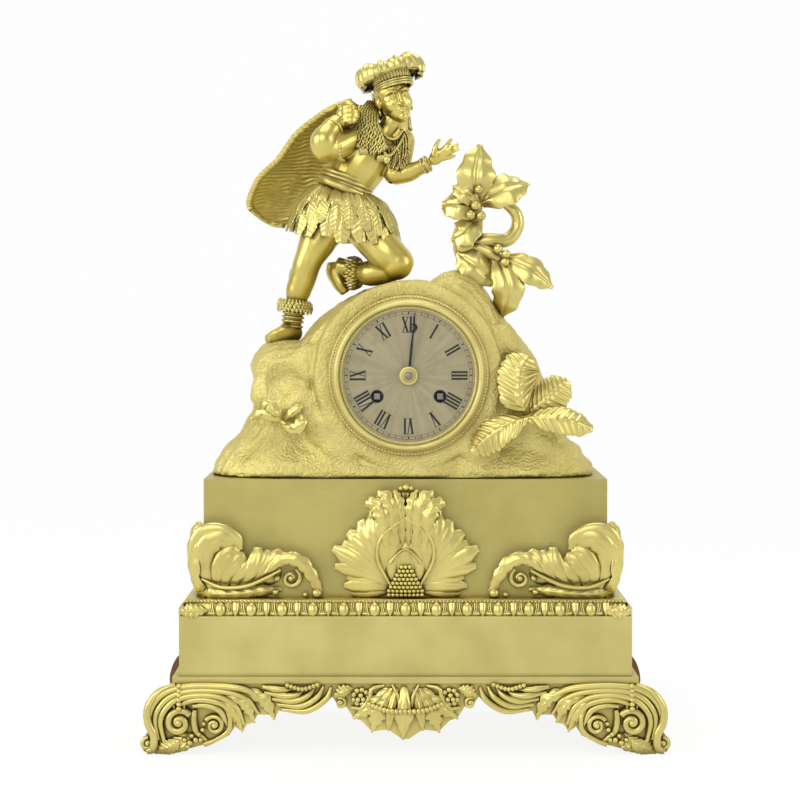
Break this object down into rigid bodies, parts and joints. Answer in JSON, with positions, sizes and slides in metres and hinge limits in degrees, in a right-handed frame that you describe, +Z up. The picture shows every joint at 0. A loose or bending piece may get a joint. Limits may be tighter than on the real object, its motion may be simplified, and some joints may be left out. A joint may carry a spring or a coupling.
{
  "type": "figural mantel clock",
  "caption": "Gilt bronze mantel clock: a running figure in feather dress on a dial rock, on a stepped plinth with leaf mounts and scroll feet, with a spring-driven striking movement.",
  "frame": {"origin": "centre of the footprint on the standing surface", "axes": "+Z up, -Y towards the front (the dial), +X to the right as seen from the front"},
  "size_m": [0.3372, 0.132, 0.4561],
  "materials": {
    "matt_gilt_bronze": "matt mercury gilding",
    "burnished_gilt_bronze": "chased and burnished gilding",
    "brushed_gilt_bronze": "plain gilding with fine rubbing marks",
    "bare_bronze": "ungilded brown bronze",
    "movement_brass": "satin",
    "bell_bronze": "turned",
    "silvered_dial": "silvered, matt",
    "blued_steel": "blued",
    "polished_steel": "polished",
    "fastener_steel": "plain"
  },
  "bodies": {
    "case": {"front_apron": "burnished_gilt_bronze", "rear_foot_left": "bare_bronze", "rear_foot_right": "bare_bronze", "left_side_apron": "matt_gilt_bronze", "right_side_apron": "matt_gilt_bronze", "base_plate": "brushed_gilt_bronze", "lower_plinth": "brushed_gilt_bronze", "egg_moulding": "burnished_gilt_bronze", "upper_plinth": "brushed_gilt_bronze", "tie_rods": "fastener_steel", "centre_mount": "burnished_gilt_bronze", "corner_mount_left": "burnished_gilt_bronze", "corner_mount_right": "burnished_gilt_bronze", "stud_nuts": "fastener_steel", "rock_case": "matt_gilt_bronze", "rock_bolts": "fastener_steel", "leaf_spray_right": "burnished_gilt_bronze", "leaf_sprig_left": "burnished_gilt_bronze", "plant": "burnished_gilt_bronze", "figure_legs": "matt_gilt_bronze", "figure_skirt": "matt_gilt_bronze", "figure_torso": "matt_gilt_bronze", "figure_head": "matt_gilt_bronze", "figure_headdress": "matt_gilt_bronze", "figure_right_arm": "matt_gilt_bronze", "figure_left_arm": "matt_gilt_bronze", "figure_cloak": "matt_gilt_bronze", "bezel": "burnished_gilt_bronze", "dial": "silvered_dial", "front_plate": "movement_brass", "back_plate": "movement_brass", "plate_pillars": "movement_brass", "bezel_straps": "movement_brass", "rear_ring": "movement_brass", "hinge_pin": "fastener_steel", "suspension_cock": "movement_brass", "bell_stand": "movement_brass", "bell": "bell_bronze", "ratchet_clicks": "polished_steel"},
    "minute_train": {"centre_arbor": "movement_brass", "cannon_pinion": "movement_brass", "minute_hand": "blued_steel"},
    "hour_train": {"hour_wheel": "movement_brass", "hour_hand": "blued_steel"},
    "minute_wheel": {"minute_wheel": "movement_brass"},
    "second_wheel": {"second_wheel": "movement_brass"},
    "going_barrel": {"going_barrel": "movement_brass"},
    "third_wheel": {"third_wheel": "movement_brass"},
    "escape_wheel": {"escape_wheel": "movement_brass"},
    "pallet_anchor": {"pallet_anchor": "polished_steel"},
    "pendulum": {"pendulum_rod": "polished_steel", "pendulum_bob": "movement_brass", "rating_nut": "movement_brass"},
    "going_winding_arbor": {"going_winding_arbor": "polished_steel"},
    "strike_winding_arbor": {"strike_winding_arbor": "polished_steel"},
    "strike_barrel": {"strike_barrel": "movement_brass"},
    "pin_wheel": {"pin_wheel": "movement_brass"},
    "fly": {"fly": "movement_brass"},
    "hammer": {"hammer": "polished_steel"},
    "rear_door": {"rear_door": "movement_brass"}
  },
  "joints": [
    {"name": "minute_turn", "type": "hinge", "parent": "case", "child": "minute_train", "pos_m": [0.002, -0.0343, 0.24], "axis": [0, 1, 0], "continuous": true},
    {"name": "hour_turn", "type": "hinge", "parent": "case", "child": "hour_train", "pos_m": [0.002, -0.0343, 0.24], "axis": [0, 1, 0], "continuous": true},
    {"name": "minute_wheel_turn", "type": "hinge", "parent": "case", "child": "minute_wheel", "pos_m": [0.002, -0.0343, 0.252], "axis": [0, 1, 0], "continuous": true},
    {"name": "second_wheel_turn", "type": "hinge", "parent": "case", "child": "second_wheel", "pos_m": [0.02002, -0.0343, 0.24924], "axis": [0, 1, 0], "continuous": true},
    {"name": "going_barrel_turn", "type": "hinge", "parent": "case", "child": "going_barrel", "pos_m": [0.0222, -0.0343, 0.2266], "axis": [0, 1, 0], "continuous": true},
    {"name": "third_wheel_turn", "type": "hinge", "parent": "case", "child": "third_wheel", "pos_m": [-0.01121, -0.0343, 0.25293], "axis": [0, 1, 0], "continuous": true},
    {"name": "escape_wheel_turn", "type": "hinge", "parent": "case", "child": "escape_wheel", "pos_m": [0.002, -0.0343, 0.261], "axis": [0, 1, 0], "continuous": true},
    {"name": "pendulum_swing", "type": "hinge", "parent": "case", "child": "pendulum", "pos_m": [0.002, 0.012, 0.274], "axis": [0, 1, 0], "range_deg": [-3, 3]},
    {"name": "pallet_swing", "type": "hinge", "parent": "case", "child": "pallet_anchor", "pos_m": [0.002, -0.0343, 0.274], "axis": [0, 1, 0], "range_deg": [-3, 3]},
    {"name": "going_winding", "type": "hinge", "parent": "case", "child": "going_winding_arbor", "pos_m": [0.0222, -0.0343, 0.2266], "axis": [0, 1, 0], "continuous": true},
    {"name": "strike_winding", "type": "hinge", "parent": "case", "child": "strike_winding_arbor", "pos_m": [-0.0182, -0.0343, 0.2266], "axis": [0, 1, 0], "continuous": true},
    {"name": "strike_barrel_turn", "type": "hinge", "parent": "case", "child": "strike_barrel", "pos_m": [-0.0182, -0.0343, 0.2266], "axis": [0, 1, 0], "continuous": true},
    {"name": "pin_wheel_turn", "type": "hinge", "parent": "case", "child": "pin_wheel", "pos_m": [-0.00241, -0.0343, 0.21022], "axis": [0, 1, 0], "continuous": true},
    {"name": "fly_turn", "type": "hinge", "parent": "case", "child": "fly", "pos_m": [0.00723, -0.0343, 0.20535], "axis": [0, 1, 0], "continuous": true},
    {"name": "hammer_lift", "type": "hinge", "parent": "case", "child": "hammer", "pos_m": [-0.014, -0.0343, 0.2045], "axis": [0, -1, 0], "range_deg": [0, 14], "stiffness_Nm_per_rad": 0.0075, "springref_deg": -11.46},
    {"name": "rear_door_hinge", "type": "hinge", "parent": "case", "child": "rear_door", "pos_m": [-0.054, 0.049, 0.24], "axis": [0, 0, 1], "range_deg": [0, 110]}
  ],
  "couplings": [
    {"joint": "hour_turn", "follows": "minute_turn", "ratio": 0.083333},
    {"joint": "minute_wheel_turn", "follows": "minute_turn", "ratio": -0.33333},
    {"joint": "second_wheel_turn", "follows": "minute_turn", "ratio": -0.125},
    {"joint": "going_barrel_turn", "follows": "minute_turn", "ratio": 0.020833},
    {"joint": "third_wheel_turn", "follows": "minute_turn", "ratio": -10},
    {"joint": "escape_wheel_turn", "follows": "minute_turn", "ratio": 133.33},
    {"joint": "pallet_swing", "follows": "pendulum_swing", "ratio": 1},
    {"joint": "pin_wheel_turn", "follows": "strike_barrel_turn", "ratio": -6},
    {"joint": "fly_turn", "follows": "strike_barrel_turn", "ratio": 48}
  ]
}
